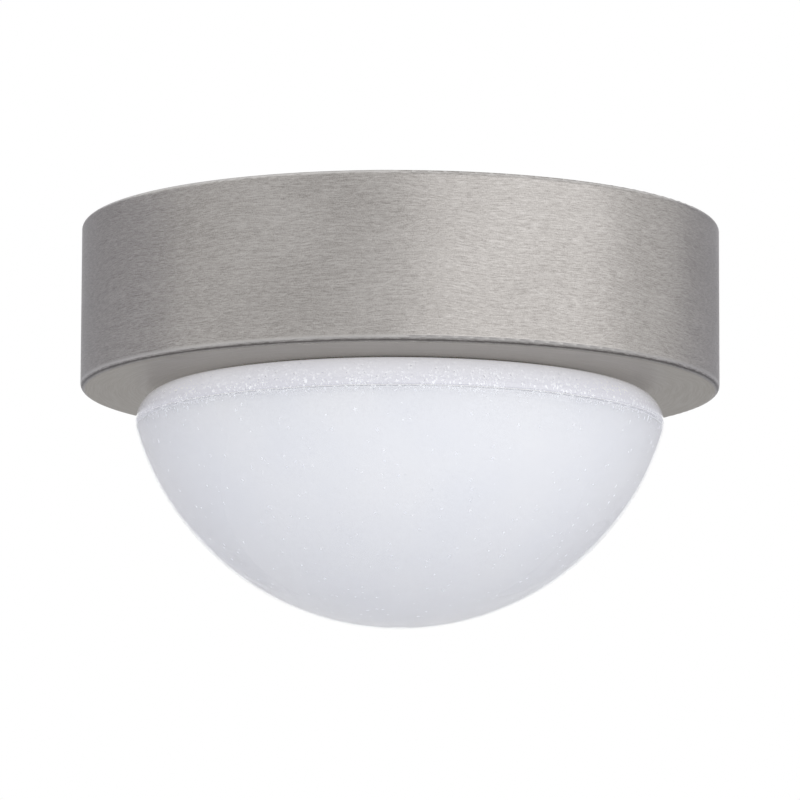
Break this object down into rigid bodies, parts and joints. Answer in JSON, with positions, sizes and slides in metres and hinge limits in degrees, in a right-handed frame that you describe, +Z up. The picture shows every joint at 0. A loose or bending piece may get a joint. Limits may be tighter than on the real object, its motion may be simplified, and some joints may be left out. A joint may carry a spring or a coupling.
{
  "type": "led ceiling light",
  "caption": "Round ceiling light: a brushed metal drum fixed to the ceiling, with a seeded clear dome over a white diffuser that screws into it from below.",
  "frame": {"origin": "on the light's axis, in the plane of the ceiling, midway between the two ceiling slots", "axes": "+Z up into the ceiling along the light's axis, +X along the line of the two ceiling slots"},
  "size_m": [0.13, 0.13, 0.082],
  "materials": {
    "brushed_nickel": "satin nickel plate with short brush strokes round the wall",
    "clear_seeded": "clear, with fine seeds in the wall",
    "opal_white": "white opal diffuser",
    "zinc_steel": "bright zinc plate",
    "foam_black": "closed-cell foam",
    "rubber_black": "moulded rubber",
    "silicone_white": "translucent silicone",
    "moulded_white": "moulded, fine matt grain",
    "tray_aluminium": "rolled sheet",
    "solder_mask_white": "white solder mask",
    "led_phosphor": "yellow phosphor in a white frame",
    "circuit_green": "green solder mask",
    "ferrite": "ferrite with yellow tape",
    "can_black": "sleeved can",
    "brass": "plain turned brass",
    "pvc_brown": "wire insulation",
    "pvc_blue": "wire insulation",
    "pvc_green_yellow": "striped wire insulation",
    "pvc_red": "wire insulation",
    "pvc_black": "wire insulation"
  },
  "bodies": {
    "housing": {"housing_drum": "brushed_nickel", "weld_studs": "zinc_steel", "thread_ring": "moulded_white", "ring_standoffs": "zinc_steel", "mounting_plate": "zinc_steel", "pan_screws": "zinc_steel", "ceiling_gasket": "foam_black", "cable_grommet": "rubber_black", "tray_posts": "zinc_steel", "led_tray": "tray_aluminium", "tray_screws": "zinc_steel", "led_board": "solder_mask_white", "led_chips": "led_phosphor", "board_screws": "zinc_steel", "board_connector": "moulded_white", "driver_case": "moulded_white", "driver_lid": "moulded_white", "driver_screws": "zinc_steel", "driver_board": "circuit_green", "driver_transformer": "ferrite", "driver_capacitors": "can_black", "terminal_block": "moulded_white", "terminal_inserts": "brass", "terminal_screws": "zinc_steel", "terminal_fixings": "zinc_steel", "earth_lug": "brass", "earth_washer": "zinc_steel", "earth_screw": "brass", "live_wire": "pvc_brown", "neutral_wire": "pvc_blue", "earth_wire": "pvc_green_yellow", "led_lead_red": "pvc_red", "led_lead_black": "pvc_black"},
    "seal": {"dome_gasket": "silicone_white"},
    "dome": {"neck_ring": "clear_seeded", "dome_shell": "clear_seeded", "inner_diffuser": "opal_white"}
  },
  "joints": [
    {"name": "dome_drop", "type": "slide", "parent": "housing", "child": "seal", "axis": [0, 0, -1], "range_m": [0, 0.012]},
    {"name": "dome_twist", "type": "hinge", "parent": "seal", "child": "dome", "pos_m": [0, 0, -0.034], "axis": [0, 0, -1], "range_deg": [0, 720]}
  ],
  "couplings": [
    {"joint": "dome_drop", "follows": "dome_twist", "m_per_rad": 0.00095493}
  ]
}
